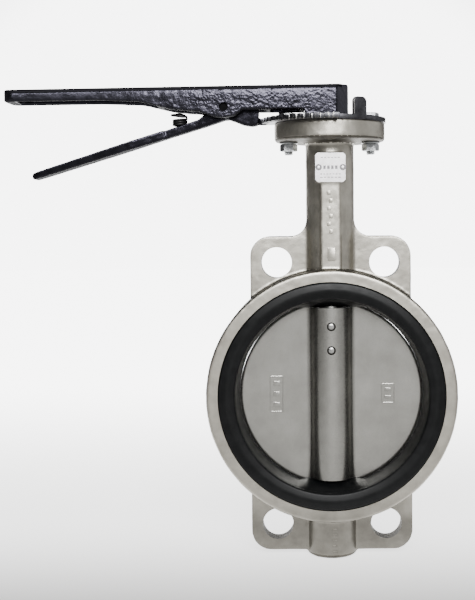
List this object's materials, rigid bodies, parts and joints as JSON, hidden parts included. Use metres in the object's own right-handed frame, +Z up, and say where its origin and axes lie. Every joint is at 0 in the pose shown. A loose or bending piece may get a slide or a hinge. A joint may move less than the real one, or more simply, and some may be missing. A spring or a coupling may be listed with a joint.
{
  "type": "wafer butterfly valve",
  "caption": "Wafer butterfly valve: cast steel body with rubber seat, round disc on a through stem, notch plate and long squeeze-latch lever.",
  "frame": {"origin": "centre of the flow passage, where the stem axis crosses the pipe axis, midway between the two faces", "axes": "+Y along the pipe away from the nameplate side, +Z up the stem towards the handle, +X across the pipe; the closed handle points along -X"},
  "size_m": [0.381, 0.106, 0.399],
  "materials": {
    "cast_steel": "blasted stainless casting",
    "disc_steel": "satin stainless casting with a turned edge",
    "stem_steel": "turned stainless bar",
    "seat_rubber": "moulded EPDM, satin",
    "seal_rubber": "moulded nitrile",
    "bush_plastic": "PTFE",
    "bush_bronze": "sintered bronze",
    "plate_steel": "stamped steel, dark oxide with bright edges",
    "bolt_steel": "zinc plated",
    "spring_steel": "black oxide spring wire",
    "name_aluminium": "stamped aluminium sheet",
    "handle_paint": "gloss black enamel on cast iron"
  },
  "bodies": {
    "root": {"body": "cast_steel", "seat_liner": "seat_rubber", "lower_stem_bush": "bush_bronze", "middle_stem_bush": "bush_bronze", "upper_stem_bush": "bush_bronze", "stem_o_rings": "seal_rubber", "thrust_pad": "bush_plastic", "retaining_washer": "stem_steel", "notch_plate": "plate_steel", "flange_bolts": "bolt_steel", "flange_nuts": "bolt_steel", "flange_washers": "bolt_steel", "nameplate": "name_aluminium", "nameplate_rivets": "name_aluminium"},
    "rotor": {"disc": "disc_steel", "stem": "stem_steel", "disc_taper_pins": "stem_steel", "stem_snap_ring": "spring_steel", "handle": "handle_paint", "handle_set_screw": "spring_steel", "latch_pivot_pin": "stem_steel", "latch_spring": "spring_steel"},
    "lever": {"latch_lever": "handle_paint"}
  },
  "joints": [
    {"name": "valve_turn", "type": "hinge", "parent": "root", "child": "rotor", "pos_m": [0, 0, 0], "axis": [0, 0, 1], "range_deg": [0, 90]},
    {"name": "latch_squeeze", "type": "hinge", "parent": "rotor", "child": "lever", "pos_m": [-0.0895, 0, 0.2428], "axis": [0, 1, 0], "range_deg": [0, 12], "stiffness_Nm_per_rad": 6, "springref_deg": -11.46, "deforming": ["latch_spring"]}
  ]
}
